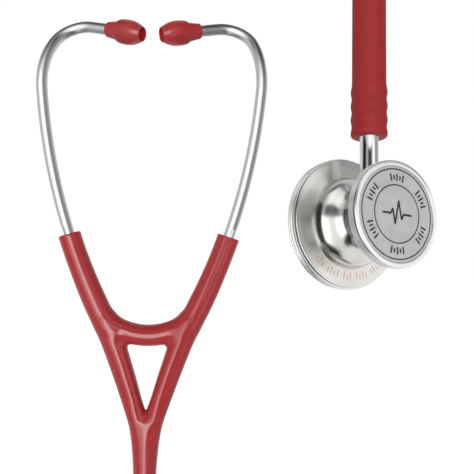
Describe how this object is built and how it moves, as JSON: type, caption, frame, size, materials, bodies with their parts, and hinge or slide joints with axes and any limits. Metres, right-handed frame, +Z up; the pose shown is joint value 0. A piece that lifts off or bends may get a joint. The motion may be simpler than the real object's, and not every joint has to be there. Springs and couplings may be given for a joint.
{
  "type": "stethoscope",
  "caption": "Binaural stethoscope with sprung chrome ear tubes, a moulded red yoke with a triangular window, red tubing and a two-sided steel chestpiece that turns on its stem.",
  "frame": {"origin": "middle of the underside of the yoke's crossbar, the top edge of the triangular window", "axes": "+Z up through the headset towards the eartips, +X to the wearer-facing view's right, +Y away from the viewer, so the tubing comes forward along -Y"},
  "size_m": [0.2186, 0.1646, 0.295],
  "materials": {
    "red_pvc": "glossy",
    "red_silicone": "satin",
    "chrome_tube": "mirror",
    "satin_steel": "satin, finely turned",
    "polished_steel": "polished",
    "spring_steel": "brushed",
    "barb_brass": "machined",
    "insert_plastic": "matte",
    "gasket_rubber": "matte",
    "diaphragm_weave": "woven grey, printed rings",
    "diaphragm_plain": "smooth, satin",
    "white_dot": "matte",
    "black_screw": "blackened"
  },
  "bodies": {
    "yoke": {"yoke": "red_pvc", "leaf_spring": "spring_steel", "tube_upper": "red_pvc"},
    "arm_right": {"arm_right": "red_pvc"},
    "arm_left": {"arm_left": "red_pvc"},
    "ear_tube_right": {"ear_tube_right": "chrome_tube", "root_barb_right": "barb_brass"},
    "ear_tube_left": {"ear_tube_left": "chrome_tube", "root_barb_left": "barb_brass"},
    "eartip_right": {"eartip_right": "red_silicone", "tip_insert_right": "insert_plastic"},
    "eartip_left": {"eartip_left": "red_silicone", "tip_insert_left": "insert_plastic"},
    "tube_run": {"tube_run": "red_pvc"},
    "tube_drop": {"tube_drop": "red_pvc", "stem": "chrome_tube", "stem_seal": "gasket_rubber", "snap_ring": "spring_steel", "index_dot": "white_dot"},
    "head": {"chestpiece_body": "satin_steel", "rim_large": "polished_steel", "rim_small": "polished_steel", "gasket_large": "gasket_rubber", "gasket_small": "gasket_rubber", "detent_ball": "chrome_tube", "detent_spring": "spring_steel", "detent_screw": "black_screw"},
    "diaphragm_large": {"diaphragm_large": "diaphragm_plain"},
    "diaphragm_small": {"diaphragm_small": "diaphragm_weave"}
  },
  "joints": [
    {"name": "arm_right_spread", "type": "hinge", "parent": "yoke", "child": "arm_right", "pos_m": [0.02678, 0, 0.01945], "axis": [0, 1, 0], "range_deg": [0, 26], "stiffness_Nm_per_rad": 0.35},
    {"name": "arm_left_spread", "type": "hinge", "parent": "yoke", "child": "arm_left", "pos_m": [-0.02678, 0, 0.01945], "axis": [0, -1, 0], "range_deg": [0, 26], "stiffness_Nm_per_rad": 0.35},
    {"name": "ear_tube_right_twist", "type": "hinge", "parent": "arm_right", "child": "ear_tube_right", "pos_m": [0.04455, 0, 0.064], "axis": [0.3045, 0, 0.9525], "range_deg": [-15, 15]},
    {"name": "ear_tube_left_twist", "type": "hinge", "parent": "arm_left", "child": "ear_tube_left", "pos_m": [-0.04455, 0, 0.064], "axis": [0.3045, 0, -0.9525], "range_deg": [-15, 15]},
    {"name": "eartip_right_turn", "type": "hinge", "parent": "ear_tube_right", "child": "eartip_right", "pos_m": [0.02533, 0.00574, 0.17212], "axis": [-0.9003, -0.3787, -0.2148], "continuous": true},
    {"name": "eartip_left_turn", "type": "hinge", "parent": "ear_tube_left", "child": "eartip_left", "pos_m": [-0.02533, 0.00574, 0.17212], "axis": [0.9003, -0.3787, -0.2148], "continuous": true},
    {"name": "tube_swing", "type": "hinge", "parent": "yoke", "child": "tube_run", "pos_m": [0.05, -0.04, -0.105], "axis": [0.5983, 0.8013, 0], "range_deg": [-15, 20], "stiffness_Nm_per_rad": 0.3},
    {"name": "drop_swing", "type": "hinge", "parent": "tube_run", "child": "tube_drop", "pos_m": [0.14214, -0.1178, 0.14204], "axis": [0.9999, 0, -0.0111], "range_deg": [-25, 25], "stiffness_Nm_per_rad": 0.15},
    {"name": "chestpiece_swivel", "type": "hinge", "parent": "tube_drop", "child": "head", "pos_m": [0.0933, -0.129, 0.0664], "axis": [0.011, 0.1455, 0.9893], "continuous": true},
    {"name": "large_diaphragm_press", "type": "slide", "parent": "head", "child": "diaphragm_large", "axis": [0.4968, -0.8594, 0.1209], "range_m": [0, 0.0004], "stiffness_N_per_m": 4000},
    {"name": "small_diaphragm_press", "type": "slide", "parent": "head", "child": "diaphragm_small", "axis": [-0.4968, 0.8594, -0.1209], "range_m": [0, 0.0004], "stiffness_N_per_m": 4000}
  ]
}
